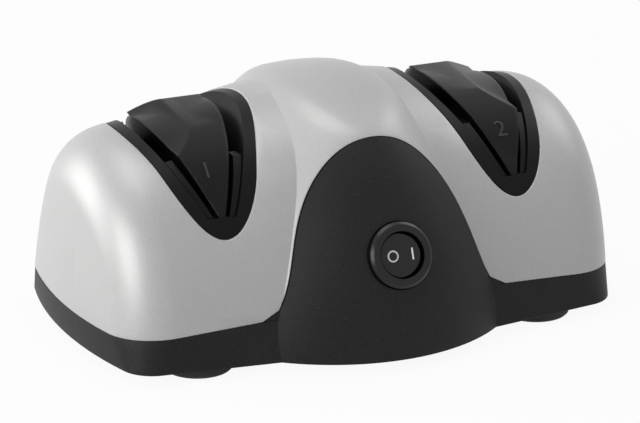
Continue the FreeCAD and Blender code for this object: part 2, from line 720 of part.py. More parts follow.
def build_post():
    """Right bearing post on a screwed foot."""
    x0, x1 = POST_X - POST_HALF, POST_X + POST_HALF
    eye = BUSH_RADIUS + 4.0
    post = box(x0, x1, -eye, eye, POST_FOOT_Z, SHAFT_Z).fuse(cylinder_x(eye, x0, x1))
    foot = box(x0 - 2.5, x1 + 2.5, -POST_SCREWS[1] - 4.5, POST_SCREWS[1] + 4.5, POST_FOOT_Z,
               POST_FOOT_Z + FLANGE_HEIGHT)
    cuts = [cylinder_x(BUSH_RADIUS, x0 - 5, x1 + 5)]
    cuts += [cylinder_z(SMALL_SCREW, 0, 30, POST_SCREWS[0], dy * POST_SCREWS[1]) for dy in (-1, 1)]
    return post.fuse(foot).cut(cuts)


def round_screws(places, radius, low, seat, head_radius, head_height):
    """Screws that point down, one solid each, with a domed head on the seat height."""
    screws = []
    for x, y in places:
        head = cylinder_z(head_radius, seat, seat + head_height, x, y)
        head = head.makeFillet(head_height * 0.6, [e for e in head.Edges if e.BoundBox.ZMin > seat + 0.1])
        screws.append(cylinder_z(radius, low, seat, x, y).fuse(head))
    return Part.makeCompound(screws)


def build_case_screws():
    """Four long screws from below, each with its head sunk in the tub."""
    screws = []
    head_top = FOOT_HEIGHT + 4.5
    for x, y in SCREW_SPOTS:
        for side in (-1, 1):
            head = cylinder_z(3.1, head_top - 2.2, head_top, side * x, y)
            screws.append(head.fuse(cylinder_z(SCREW_RADIUS, head_top, seam_height(x) + 10, side * x, y)))
    return Part.makeCompound(screws)


# Switch

def build_switch_body():
    """Round bezel and barrel with an open well for the rocker."""
    bezel = switch_disc(BEZEL_RADIUS, -BEZEL_SUNK, BEZEL_PROUD)
    rim = max(bezel.Edges, key=lambda e: e.CenterOfMass.dot(switch_normal()) if e.Closed else -999)
    bezel = bezel.makeChamfer(1.1, [rim])
    barrel = switch_disc(BARREL_RADIUS, -BARREL_DEPTH, -BEZEL_SUNK)
    well = switch_disc(ROCKER_RADIUS + ROCKER_GAP, -BARREL_DEPTH + 1.5, 10.0)
    reach = BARREL_RADIUS - 0.3
    pivots = Part.makeCylinder(PIVOT_RADIUS + PIVOT_GAP, 2 * reach, switch_point(0, -reach, -PIVOT_DEPTH),
                               switch_point(0, 1, 0) - switch_point(0, 0, 0))
    return bezel.fuse(barrel).cut([well, pivots])


def build_switch_rocker():
    """Round rocker with a shallow V on top, turned so that its left half is pressed in."""
    pivot = switch_point(0, 0, -PIVOT_DEPTH)
    up = switch_point(0, 1, 0) - switch_point(0, 0, 0)
    rise = math.tan(math.radians(ROCKER_TILT))
    reach = 12.0
    outline = [(-reach, -8.0), (reach, -8.0), (reach, reach * rise + 0.5), (0.0, 0.5), (-reach, reach * rise + 0.5)]
    body = switch_prism(outline, reach).common(Part.makeSphere(ROCKER_BALL, pivot))
    # Cut by the well at both ends of its travel, so that it clears the well in between.
    for tilt in (-ROCKER_TILT, ROCKER_TILT):
        well = switch_disc(ROCKER_RADIUS, -12, 12)
        well.rotate(pivot, up, tilt)
        body = body.common(well)
    pin_reach = BARREL_RADIUS - 0.5
    pins = Part.makeCylinder(PIVOT_RADIUS, 2 * pin_reach, switch_point(0, -pin_reach, -PIVOT_DEPTH), up)
    rocker = body.fuse(pins)
    rocker.rotate(pivot, up, -ROCKER_TILT)
    return rocker


def build_switch_terminals():
    blades = [switch_prism([(a, -BARREL_DEPTH - 7.0), (a + 0.8, -BARREL_DEPTH - 7.0), (a + 0.8, -BARREL_DEPTH),
                            (a, -BARREL_DEPTH)], 2.4) for a in (-5.2, 4.4)]
    return Part.makeCompound(blades)


# Small parts

def build_foot(x, y):
    pad = cylinder_z(FOOT_RADIUS, 0, FOOT_HEIGHT, x, y)
    pad = pad.makeChamfer(0.8, [e for e in pad.Edges if e.BoundBox.ZMax < 0.1])
    plug = cylinder_z(FOOT_PLUG_RADIUS, FOOT_HEIGHT, FOOT_HEIGHT + FLOOR, x, y)
    barb = Part.makeCone(FOOT_PLUG_RADIUS + 1.0, FOOT_PLUG_RADIUS - 1.0, 2.5, V(x, y, FOOT_HEIGHT + FLOOR))
    return pad.fuse([plug, barb])


def build_gland(base):
    """Empty cord gland in the rear wall, with its bore, a lip outside and one inside."""
    ring = cylinder_y(GLAND_FLANGE, GLAND_SEAT_Y - 3.0, GLAND_SEAT_Y + 1.5)
    return ring.cut(base).cut(cylinder_y(GLAND_BORE, 60, 100))


def build_all():
    seam_side = below_seam()
    outer = upper_form(0.0, 6.0)
    inner = upper_form(WALL, 6.0)
    recessed = right_lobe(SADDLE_RECESS)
    saddle = build_saddle(recessed, right_lobe(WALL), right_lobe(WALL + FLANGE_THICK))
    wedge = build_wedge(recessed)
    base = build_base_housing(outer, inner, seam_side)
    parts = {
        "upper_housing": build_upper_housing(outer, inner, seam_side),
        "base_housing": base,
        "saddle_1": mirrored_x(saddle),
        "saddle_2": saddle,
        "wedge_1": mirrored_x(wedge),
        "wedge_2": wedge,
        "drive_shaft": build_drive_shaft(),
        "drive_pins": build_drive_pins(),
        "retaining_rings": build_retaining_rings(),
        "rotor": build_rotor(),
        "stator": build_stator(),
        "coil_bobbin": build_bobbin(),
        "coil": build_coil(),
        "motor_bolts": build_motor_bolts(),
        "motor_screws": round_screws([(dx * MOTOR_SCREWS[0], dy * MOTOR_SCREWS[1]) for dx, dy in QUARTERS],
                                     SMALL_SCREW, 8.0, MOTOR_FOOT_Z + FLANGE_HEIGHT, 2.9, 2.0),
        "post_screws": round_screws([(dx * POST_SCREWS[0], dy * POST_SCREWS[1]) for dx, dy in QUARTERS],
                                    SMALL_SCREW, 8.0, POST_FOOT_Z + FLANGE_HEIGHT, 2.9, 2.0),
        "case_screws": build_case_screws(),
        "switch_body": build_switch_body(),
        "switch_rocker": build_switch_rocker(),
        "switch_terminals": build_switch_terminals(),
        "cord_gland": build_gland(base),
    }
    leaf_form = right_lobe(SADDLE_RECESS + LEAF_RECESS)
    for side, place in ((-1, "inner"), (1, "outer")):
        wheel = build_wheel(side)
        hub = build_hub(side)
        spring = build_spring(side)
        for name, shape in (("wheel", wheel), ("hub", hub), ("spring", spring)):
            parts["%s_1_%s" % (name, place)] = mirrored_x(shape)
            parts["%s_2_%s" % (name, place)] = shape
        for front, end in ((True, "front"), (False, "rear")):
            leaf = guide_leaf(side, front).common(leaf_form)
            parts["leaf_1_%s_%s" % (place, end)] = mirrored_x(leaf)
            parts["leaf_2_%s_%s" % (place, end)] = leaf
    bracket = build_bracket()
    post = build_post()
    motor_bush = build_bush(BRACKET_X - 1.5, BRACKET_X - 1.5 + 2 * BUSH_HALF)
    post_bush = build_bush(POST_X - BUSH_HALF, POST_X + BUSH_HALF)
    for name, shape in (("motor_bracket", bracket), ("bearing_post", post), ("motor_bush", motor_bush),
                        ("post_bush", post_bush)):
        parts[name + "_left"] = mirrored_x(shape)
        parts[name + "_right"] = shape
    for (x, y), end in zip(FOOT_SPOTS, ("front", "rear")):
        parts["foot_%s_left" % end] = build_foot(-x, y)
        parts["foot_%s_right" % end] = build_foot(x, y)
    return parts


def main():
    os.makedirs("parts", exist_ok=True)
    for name, shape in build_all().items():
        shape.exportStep("parts/%s.step" % name)
        print(name, len(shape.Solids), shape.isValid(), round(shape.Volume, 1))


if __name__ == "__main__":
    main()
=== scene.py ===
import json
import logging
import math
from dataclasses import dataclass, field
from enum import Enum

import bmesh
import bpy
from mathutils import Matrix, Vector
from mathutils.bvhtree import BVHTree


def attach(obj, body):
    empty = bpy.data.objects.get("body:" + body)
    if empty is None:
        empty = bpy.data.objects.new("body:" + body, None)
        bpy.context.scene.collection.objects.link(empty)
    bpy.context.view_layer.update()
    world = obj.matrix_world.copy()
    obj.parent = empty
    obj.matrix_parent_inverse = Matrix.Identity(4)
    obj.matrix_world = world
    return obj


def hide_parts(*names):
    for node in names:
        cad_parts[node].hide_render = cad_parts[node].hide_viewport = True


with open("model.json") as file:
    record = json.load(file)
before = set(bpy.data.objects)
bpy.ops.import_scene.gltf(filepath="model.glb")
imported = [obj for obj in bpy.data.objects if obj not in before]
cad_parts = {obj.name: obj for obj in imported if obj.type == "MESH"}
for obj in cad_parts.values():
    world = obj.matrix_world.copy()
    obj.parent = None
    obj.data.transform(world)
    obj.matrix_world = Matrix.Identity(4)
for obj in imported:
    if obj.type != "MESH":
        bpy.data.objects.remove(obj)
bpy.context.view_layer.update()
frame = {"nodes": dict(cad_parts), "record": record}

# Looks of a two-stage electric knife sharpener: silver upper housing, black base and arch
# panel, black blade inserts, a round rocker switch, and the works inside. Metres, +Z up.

log = logging.getLogger("sharpener")
MM = 0.001
# Points of a CAD mesh closer than this are one point.
WELD = 0.002 * MM
# Faces that meet at less than this are merged.
FLAT_DEG = 0.5
# Convex edges sharper than this get a lip.
LIP_DEG = 50.0
# Length over which a wave pattern at scale 1 repeats.
WAVE_REPEAT = 0.314


def linear(colour: str) -> tuple[float, float, float, float]:
    """Turn an sRGB hex colour into linear red, green, blue and alpha.

    Args:
        colour: Six hex digits, such as "c9cac9".

    Returns:
        The linear colour with alpha 1.
    """
    parts = [int(colour[i:i + 2], 16) / 255 for i in (0, 2, 4)]
    flat = [c / 12.92 if c <= 0.04045 else ((c + 0.055) / 1.055) ** 2.4 for c in parts]
    return flat[0], flat[1], flat[2], 1.0


def add_node(tree: bpy.types.NodeTree, kind: str, settings: dict | None = None,
             links: dict | None = None) -> bpy.types.Node:
    """Add one node with its settings and links.

    Args:
        tree: The node tree to add to.
        kind: The node's type name.
        settings: Values by attribute name, socket name or socket number.
        links: Output sockets by the name or number of the input they feed.

    Returns:
        The new node.
    """
    node = tree.nodes.new(kind)
    for name, value in (settings or {}).items():
        if isinstance(name, int) or name in node.inputs:
            node.inputs[name].default_value = value
        else:
            setattr(node, name, value)
    for name, socket in (links or {}).items():
        tree.links.new(socket, node.inputs[name])
    return node


def start_material(name: str) -> tuple[bpy.types.Material, bpy.types.NodeTree, bpy.types.NodeSocket]:
    """Make an empty node material with Object coordinates.

    Args:
        name: The material's name.

    Returns:
        The material, its node tree and the Object coordinate socket.
    """
    material = bpy.data.materials.new(name)
    material.use_nodes = True
    tree = material.node_tree
    tree.nodes.clear()
    place = add_node(tree, "ShaderNodeTexCoord")
    return material, tree, place.outputs["Object"]


def close_material(tree: bpy.types.NodeTree, shader: dict, links: dict) -> None:
    """Add the surface shader and the output.

    Args:
        tree: The node tree.
        shader: Constants on the shader's own sockets.
        links: Sockets that feed the shader.
    """
    surface = add_node(tree, "ShaderNodeBsdfPrincipled", shader, links)
    add_node(tree, "ShaderNodeOutputMaterial", links={"Surface": surface.outputs[0]})


def mixed_colour(tree: bpy.types.NodeTree, factor: bpy.types.NodeSocket, low: str, high: str,
                 start: float, end: float) -> bpy.types.NodeSocket:
    """Blend two hex colours by a pattern, through a ramp.

    Args:
        tree: The node tree.
        factor: The pattern.
        low: Colour below start.
        high: Colour above end.
        start: Pattern value where the blend starts.
        end: Pattern value where it ends.

    Returns:
        The colour socket.
    """
    ramp = add_node(tree, "ShaderNodeValToRGB", links={"Fac": factor})
    ramp.color_ramp.elements[0].position = start
    ramp.color_ramp.elements[0].color = linear(low)
    ramp.color_ramp.elements[1].position = end
    ramp.color_ramp.elements[1].color = linear(high)
    return ramp.outputs["Color"]


def varied(tree: bpy.types.NodeTree, factor: bpy.types.NodeSocket,
           low: float, high: float) -> bpy.types.NodeSocket:
    """Spread a 0 to 1 pattern between two values.

    Args:
        tree: The node tree.
        factor: The pattern.
        low: Value at 0.
        high: Value at 1.

    Returns:
        The value socket.
    """
    spread = add_node(tree, "ShaderNodeMapRange", {"To Min": low, "To Max": high}, {"Value": factor})
    return spread.outputs["Result"]


def soft_normal(tree: bpy.types.NodeTree, edge_mm: float) -> bpy.types.NodeSocket:
    """A normal that rounds sharp edges, so that they catch the light as moulded edges do.

    Args:
        tree: The node tree.
        edge_mm: Radius of the rounding.

    Returns:
        The normal socket.
    """
    return add_node(tree, "ShaderNodeBevel", {"samples": 6, "Radius": edge_mm * MM}).outputs["Normal"]


@dataclass(frozen=True)
class MouldedPlastic:
    """Injection-moulded plastic: a slow mottle, a fine spark or satin grain and soft edges."""

    name: str
    colour: str
    shade: str
    roughness: float
    grain_mm: float
    grain_depth_mm: float
    mottle_mm: float = 22.0
    edge_mm: float = 0.35
    # The glint colour, start and end paint a pale highlight on the grain's tops; no glint when empty.
    painted_glint: str = ""
    painted_glint_start: float = 0.60
    painted_glint_end: float = 0.74
    coat: float = 0.0
    shine: float = 0.5

    def material(self) -> bpy.types.Material:
        """Build the node material.

        Returns:
            The material.
        """
        material, tree, place = start_material(self.name)
        mottle = add_node(tree, "ShaderNodeTexNoise", {"Scale": 1 / (self.mottle_mm * MM), "Detail": 3.0},
                          {"Vector": place})
        grain = add_node(tree, "ShaderNodeTexNoise",
                         {"Scale": 1 / (self.grain_mm * MM), "Detail": 2.0, "Roughness": 0.6},
                         {"Vector": place})
        colour = mixed_colour(tree, mottle.outputs["Fac"], self.shade, self.colour, 0.3, 0.7)
        if self.painted_glint:
            # Pale colour on the tops of the grain is a painted glint, as of light grazing the texture.
            glint_mask = add_node(tree, "ShaderNodeMapRange",
                            {"From Min": self.painted_glint_start, "From Max": self.painted_glint_end},
                            {"Value": grain.outputs["Fac"]})
            glinted_colour = add_node(tree, "ShaderNodeMix", {"data_type": "RGBA", 7: linear(self.painted_glint)},
                               {0: glint_mask.outputs["Result"], 6: colour})
            colour = glinted_colour.outputs[2]
        rough = varied(tree, grain.outputs["Fac"], self.roughness - 0.06, self.roughness + 0.08)
        bump = add_node(tree, "ShaderNodeBump", {"Strength": 0.6, "Distance": self.grain_depth_mm * MM},
                        {"Height": grain.outputs["Fac"], "Normal": soft_normal(tree, self.edge_mm)})
        close_material(tree, {"IOR": 1.5, "Specular IOR Level": self.shine, "Coat Weight": self.coat,
                              "Coat Roughness": 0.15},
                       {"Base Color": colour, "Roughness": rough, "Normal": bump.outputs["Normal"]})
        return material


@dataclass(frozen=True)
class MetallicPaint:
    """Sprayed silver paint: aluminium flakes under a satin clear coat."""

    name: str
    colour: str
    flake: str
    flake_mm: float
    roughness: float
    metallic: float
    edge_mm: float = 0.5
    cloud_mm: float = 40.0
    spray_mm: float = 1.4
    spray_depth_mm: float = 0.02

    def material(self) -> bpy.types.Material:
        """Build the node material.

        Returns:
            The material.
        """
        material, tree, place = start_material(self.name)
        flakes = add_node(tree, "ShaderNodeTexVoronoi", {"Scale": 1 / (self.flake_mm * MM)},
                          {"Vector": place})
        cloud = add_node(tree, "ShaderNodeTexNoise", {"Scale": 1 / (self.cloud_mm * MM), "Detail": 2.0},
                         {"Vector": place})
        spray = add_node(tree, "ShaderNodeTexNoise", {"Scale": 1 / (self.spray_mm * MM), "Detail": 2.0},
                         {"Vector": place})
        tone = add_node(tree, "ShaderNodeSeparateColor", links={"Color": flakes.outputs["Color"]})
        colour = mixed_colour(tree, tone.outputs["Red"], self.flake, self.colour, 0.0, 0.75)
        rough = varied(tree, cloud.outputs["Fac"], self.roughness - 0.04, self.roughness + 0.05)
        bump = add_node(tree, "ShaderNodeBump", {"Strength": 0.25, "Distance": self.spray_depth_mm * MM},
                        {"Height": spray.outputs["Fac"], "Normal": soft_normal(tree, self.edge_mm)})
        close_material(tree, {"Metallic": self.metallic, "Coat Weight": 0.15, "Coat Roughness": 0.3},
                       {"Base Color": colour, "Roughness": rough, "Normal": bump.outputs["Normal"]})
        return material


class Grain(Enum):
    """Direction of the marks that a tool leaves on metal."""

    NONE = (1.0, 1.0, 1.0)
    TURNED = (1.0, 0.06, 0.06)
    BRUSHED = (0.06, 1.0, 1.0)


@dataclass(frozen=True)
class WorkedMetal:
    """Bare metal with turned, brushed or cast marks and a little tarnish."""

    name: str
    colour: str
    tarnish: str
    roughness: float
    mark_mm: float
    grain: Grain = Grain.NONE
    bump_mm: float = 0.01
    stain_mm: float = 9.0
    edge_mm: float = 0.2

    def material(self) -> bpy.types.Material:
        """Build the node material.

        Returns:
            The material.
        """
        material, tree, place = start_material(self.name)
        turned = add_node(tree, "ShaderNodeMapping", {"Scale": self.grain.value}, {"Vector": place})
        marks = add_node(tree, "ShaderNodeTexNoise", {"Scale": 1 / (self.mark_mm * MM), "Detail": 4.0},
                         {"Vector": turned.outputs["Vector"]})
        stain = add_node(tree, "ShaderNodeTexNoise", {"Scale": 1 / (self.stain_mm * MM), "Detail": 3.0},
                         {"Vector": place})
        colour = mixed_colour(tree, stain.outputs["Fac"], self.tarnish, self.colour, 0.35, 0.6)
        rough = varied(tree, marks.outputs["Fac"], self.roughness - 0.08, self.roughness + 0.12)
        bump = add_node(tree, "ShaderNodeBump", {"Strength": 0.5, "Distance": self.bump_mm * MM},
                        {"Height": marks.outputs["Fac"], "Normal": soft_normal(tree, self.edge_mm)})
        close_material(tree, {"Metallic": 1.0},
                       {"Base Color": colour, "Roughness": rough, "Normal": bump.outputs["Normal"]})
        return material


@dataclass(frozen=True)
class Layered:
    """Stacked laminations or laid turns of wire: fine ribs along one axis."""

    name: str
    colour: str
    groove: str
    pitch_mm: float
    axis: str
    roughness: float
    metallic: float
    groove_depth_mm: float = 0.15

    def material(self) -> bpy.types.Material:
        """Build the node material.

        Returns:
            The material.
        """
        material, tree, place = start_material(self.name)
        bands = add_node(tree, "ShaderNodeTexWave",
                         {"bands_direction": self.axis, "Scale": WAVE_REPEAT / (self.pitch_mm * MM),
                          "Distortion": 0.4, "Detail": 1.0}, {"Vector": place})
        colour = mixed_colour(tree, bands.outputs["Fac"], self.groove, self.colour, 0.1, 0.6)
        bump = add_node(tree, "ShaderNodeBump", {"Strength": 0.8, "Distance": self.groove_depth_mm * MM},
                        {"Height": bands.outputs["Fac"]})
        close_material(tree, {"Metallic": self.metallic, "Roughness": self.roughness},
                       {"Base Color": colour, "Normal": bump.outputs["Normal"]})
        return material


@dataclass(frozen=True)
class BondedGrit:
    """Abrasive grains in a resin bond: dull, rough and lightly speckled."""

    name: str
    grain: str
    bond: str
    grit_mm: float
    depth_share: float = 0.4

    def material(self) -> bpy.types.Material:
        """Build the node material.

        Returns:
            The material.
        """
        material, tree, place = start_material(self.name)
        grains = add_node(tree, "ShaderNodeTexVoronoi", {"Scale": 1 / (self.grit_mm * MM)}, {"Vector": place})
        tone = add_node(tree, "ShaderNodeSeparateColor", links={"Color": grains.outputs["Color"]})
        colour = mixed_colour(tree, tone.outputs["Green"], self.bond, self.grain, 0.2, 0.9)
        depth = self.grit_mm * self.depth_share * MM
        bump = add_node(tree, "ShaderNodeBump", {"Strength": 1.0, "Distance": depth},
                        {"Height": grains.outputs["Distance"]})
        close_material(tree, {"Roughness": 0.85},
                       {"Base Color": colour, "Normal": bump.outputs["Normal"]})
        return material


@dataclass(frozen=True)
class PrintedInk:
    """Pad-printed ink: flat, with slight unevenness."""

    name: str
    colour: str
    thin: str
    cover_mm: float = 0.5

    def material(self) -> bpy.types.Material:
        """Build the node material.

        Returns:
            The material.
        """
        material, tree, place = start_material(self.name)
        cover = add_node(tree, "ShaderNodeTexNoise", {"Scale": 1 / (self.cover_mm * MM)}, {"Vector": place})
        colour = mixed_colour(tree, cover.outputs["Fac"], self.thin, self.colour, 0.25, 0.5)
        close_material(tree, {"Roughness": 0.5}, {"Base Color": colour})
        return material


# Satin silver spray on ABS: pale grey with flakes too fine to see singly, drawn 0.3 mm wide.
SILVER_SPRAY = MetallicPaint("silver_spray_on_abs", "b9b9b8", "b1b1b0", 0.3, 0.42, 0.25)
# Spark-eroded mould texture on black ABS: dull, with a painted glint of pale flecks on the grain's tops,
# standing in for light grazing it.
SPARK_ABS = MouldedPlastic("spark_textured_abs", "1b1b1c", "161617", 0.5, 0.45, 0.05,
                           painted_glint="3a3a3b", shine=0.2)
# Finer satin texture of the inserts.
SATIN_ABS = MouldedPlastic("satin_abs", "0e0e0f", "0b0b0c", 0.36, 0.35, 0.02, shine=0.12)
# The guides have the same texture and softer edges.
GUIDE_ABS = MouldedPlastic("guide_abs", "0e0e0f", "0b0b0c", 0.34, 0.35, 0.02, edge_mm=1.4, shine=0.16)
# Raised numbers, polished in the mould; in the wedge's own plastic, they are coloured lighter as a painted
# highlight of their edges catching the light.
HIGHLIT_POLISHED_ABS = MouldedPlastic("polished_abs_painted_highlight", "1d1d1e", "19191a", 0.22, 0.35, 0.005, edge_mm=0.12)
# Polished nylon of the switch.
SWITCH_NYLON = MouldedPlastic("polished_nylon", "131314", "101011", 0.3, 0.3, 0.006, coat=0.1, shine=0.25)
NATURAL_NYLON = MouldedPlastic("natural_nylon", "e2ddd0", "d4cfc0", 0.45, 0.5, 0.02)
SOFT_RUBBER = MouldedPlastic("moulded_rubber", "242425", "1c1c1d", 0.75, 0.4, 0.03)
GROUND_BAR = WorkedMetal("ground_steel", "b4b7ba", "9a9da0", 0.22, 0.25, Grain.TURNED)
ZINC_PLATE = WorkedMetal("zinc_plate", "c4c6c9", "a8abad", 0.3, 0.4)
DIE_CAST = WorkedMetal("die_cast_zinc", "a2a4a6", "85878a", 0.5, 0.8, bump_mm=0.05)
SINTERED_BRONZE = WorkedMetal("sintered_bronze", "a57d4a", "7d5b33", 0.5, 0.3, bump_mm=0.03)
TINNED_BRASS = WorkedMetal("tinned_brass", "b99a62", "96794a", 0.35, 0.4, Grain.BRUSHED)
LAMINATIONS = Layered("oiled_laminations", "63666a", "2e3033", 0.5, "X", 0.45, 0.9)
COPPER_TURNS = Layered("varnished_copper_turns", "99542c", "4a2412", 0.6, "Z", 0.35, 0.6)
COARSE_GRIT = BondedGrit("coarse_bonded_grit", "847a6f", "4f4842", 0.5)
FINE_GRIT = BondedGrit("fine_bonded_grit", "e0dcd3", "c2bdb2", 0.3)
WHITE_INK = PrintedInk("white_print", "e6e6e4", "cfcfcd")

SLOT_FINISH = {
    "silver_shell": SILVER_SPRAY,
    "black_shell": SPARK_ABS,
    "black_insert": SATIN_ABS,
    "ground_steel": GROUND_BAR,
    "bright_steel": ZINC_PLATE,
    "core_steel": LAMINATIONS,
    "bobbin_nylon": NATURAL_NYLON,
    "copper_winding": COPPER_TURNS,
    "bracket_alloy": DIE_CAST,
    "bush_bronze": SINTERED_BRONZE,
    "coarse_grit": COARSE_GRIT,
    "fine_grit": FINE_GRIT,
    "hub_nylon": NATURAL_NYLON,
    "switch_black": SWITCH_NYLON,
    "terminal_brass": TINNED_BRASS,
    "gland_rubber": SOFT_RUBBER,
    "foot_rubber": SOFT_RUBBER,
}


@dataclass
class Wardrobe:
    """Hands out one material per finish and knows each CAD node's slot and body."""

    made: dict = field(default_factory=dict)

    def material(self, finish: object) -> bpy.types.Material:
        """Return the finish's material, made on first use.

        Args:
            finish: One of the finish classes' values.

        Returns:
            The material.
        """
        if finish not in self.made:
            self.made[finish] = finish.material()
        return self.made[finish]

    def slot_of(self, node: str) -> str:
        """Look up a CAD node's material slot in the record.

        Args:
            node: The CAD node.

        Returns:
            The slot's name.
        """
        subparts = frame["record"]["subparts"]
        return next(part["material_slot"] for part in subparts if part["node"] == node)

    def body_of(self, node: str) -> str:
        """Look up the body that a CAD node rides on.

        Args:
            node: The CAD node.

        Returns:
            The body's name.
        """
        bodies = frame["record"]["behaviour"]["bodies"]
        return next(body for body, nodes in bodies.items() if node in nodes)

    def dress(self, piece: bpy.types.Object, finish: object) -> None:
        """Give a piece or CAD node a finish on all its slots.

        Args:
            piece: The object.
            finish: One of the finish classes' values.
        """
        if not piece.material_slots:
            piece.data.materials.append(None)
        for place in piece.material_slots:
            place.material = self.material(finish)

    def dress_node(self, node: str) -> None:
        """Give a CAD node the finish of its slot.

        Args:
            node: The CAD node.
        """
        self.dress(frame["nodes"][node], SLOT_FINISH[self.slot_of(node)])


def add_piece(name: str, mesh: bmesh.types.BMesh, body: str) -> bpy.types.Object:
    """Turn a finished mesh into a piece at the origin that rides on a body.

    Args:
        name: The piece's name.
        mesh: The finished mesh, in place.
        body: The body it rides on.

    Returns:
        The new object.
    """
    data = bpy.data.meshes.new(name)
    mesh.to_mesh(data)
    mesh.free()
    piece = bpy.data.objects.new(name, data)
    bpy.context.scene.collection.objects.link(piece)
    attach(piece, body)
    return piece


def smoothed_copy(node: str, name: str, wardrobe: Wardrobe, crease_deg: float = 24.0,
                  lip: float = 0.0) -> bpy.types.Object:
    """Replace a CAD node by a copy that is welded and shaded smooth between its edges.

    Args:
        node: The CAD node.
        name: The new piece's name.
        wardrobe: Gives body, slot and finish.
        crease_deg: Faces that meet at more than this keep a sharp edge.
        lip: Width of the rounding on the sharp convex edges, none at 0.

    Returns:
        The new piece.
    """
    mesh = bmesh.new()
    mesh.from_mesh(frame["nodes"][node].data)
    bmesh.ops.remove_doubles(mesh, verts=mesh.verts, dist=WELD)
    bmesh.ops.dissolve_degenerate(mesh, edges=mesh.edges, dist=WELD)
    bmesh.ops.dissolve_limit(mesh, angle_limit=math.radians(FLAT_DEG), verts=mesh.verts, edges=mesh.edges)
    if lip:
        paired = [edge for edge in mesh.edges if len(edge.link_faces) == 2]
        sharp = [edge for edge in paired if edge.calc_face_angle_signed(0.0) > math.radians(LIP_DEG)]
        bmesh.ops.bevel(mesh, geom=sharp, offset=lip, segments=3, profile=0.5, affect="EDGES",
                        material=-1, clamp_overlap=False)
    for face in mesh.faces:
        face.smooth = True
    for edge in mesh.edges:
        edge.smooth = len(edge.link_faces) == 2 and edge.calc_face_angle(0.0) < math.radians(crease_deg)
    piece = add_piece(name, mesh, wardrobe.body_of(node))
    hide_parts(node)
    wardrobe.dress(piece, SLOT_FINISH[wardrobe.slot_of(node)])
    return piece


@dataclass
class Housing:
    """The silver upper shell, the black tub with its arch panel, the feet and the gland."""

    shells: tuple[str, ...] = ("upper_housing", "base_housing")
    small: tuple[str, ...] = ("foot_front_left", "foot_front_right", "foot_rear_left", "foot_rear_right",
                              "cord_gland")
    lip: float = 0.35 * MM

    def build(self, wardrobe: Wardrobe) -> list[bpy.types.Object]:
        """Copy and smooth the shells, the feet and the gland.

        Args:
            wardrobe: Gives body, slot and finish.

        Returns:
            The new pieces.
        """
        shells = [smoothed_copy(node, node + "_skin", wardrobe, lip=self.lip) for node in self.shells]
        return shells + [smoothed_copy(node, node + "_skin", wardrobe) for node in self.small]


@dataclass
class BladeInserts:
    """The saddles, wedges and guide leaves, and the stage numbers on the wedges."""

    numeral_height: float = 10.0 * MM
    numeral_rise: float = 0.2 * MM
    numeral_places: tuple[tuple[str, float], ...] = (("1", -63.8 * MM), ("2", 62.2 * MM))
    numeral_y: float = -36.3 * MM
    numeral_z: float = 74.5 * MM
    numeral_facing: tuple[float, float, float] = (0.0, -0.75, 0.66)
    longest_edge: float = 1.5 * MM
    drop_height: float = 20 * MM
    shown_share: float = 0.4

    def build(self, wardrobe: Wardrobe) -> list[bpy.types.Object]:
        """Copy and smooth the inserts and set the numerals.

        Args:
            wardrobe: Gives body, slot and finish.

        Returns:
            The new pieces.
        """
        pieces = []
        for node in frame["nodes"]:
            if node.startswith(("saddle", "leaf")):
                pieces.append(smoothed_copy(node, node + "_skin", wardrobe))
        for mark, x in self.numeral_places:
            wedge = smoothed_copy("wedge_" + mark, "wedge_" + mark + "_skin", wardrobe)
            wardrobe.dress(wedge, GUIDE_ABS)
            pieces += [wedge, self.numeral(mark, x, wedge, wardrobe)]
        return pieces

    def numeral(self, mark: str, x: float, wedge: bpy.types.Object,
                wardrobe: Wardrobe) -> bpy.types.Object:
        """Lay a raised number onto the front of a wedge.

        Args:
            mark: The number.
            x: Its middle along X.
            wedge: The piece it lies on.
            wardrobe: Gives the finish.

        Returns:
            The number's piece.
        """
        outline = bpy.data.curves.new("numeral_outline", "FONT")
        outline.body = mark
        outline.size = self.numeral_height
        outline.extrude = self.numeral_rise
        outline.align_x = "CENTER"
        outline.align_y = "CENTER"
        text = bpy.data.objects.new("numeral_outline", outline)
        flat = bpy.data.meshes.new_from_object(text)
        mesh = bmesh.new()
        mesh.from_mesh(flat)
        long_edges = [edge for edge in mesh.edges if edge.calc_length() > self.longest_edge]
        bmesh.ops.subdivide_edges(mesh, edges=long_edges, cuts=2)
        ground = BVHTree.FromObject(wedge, bpy.context.evaluated_depsgraph_get())
        centre = Vector((x, self.numeral_y, self.numeral_z))
        outward = Vector(self.numeral_facing).normalized()
        upward = Vector((0.0, outward.z, -outward.y))
        for vert in mesh.verts:
            flat_place = centre + Vector((vert.co.x, 0.0, 0.0)) + upward * vert.co.y
            start = flat_place + outward * self.drop_height
            hit = ground.ray_cast(start, -outward)[0]
            if hit is not None:
                vert.co = hit + outward * (vert.co.z + self.numeral_rise * self.shown_share)
        bpy.data.objects.remove(text)
        piece = add_piece("numeral_" + mark, mesh, "housing")
        # The numbers' lighter colour is a painted highlight.
        wardrobe.dress(piece, HIGHLIT_POLISHED_ABS)
        return piece


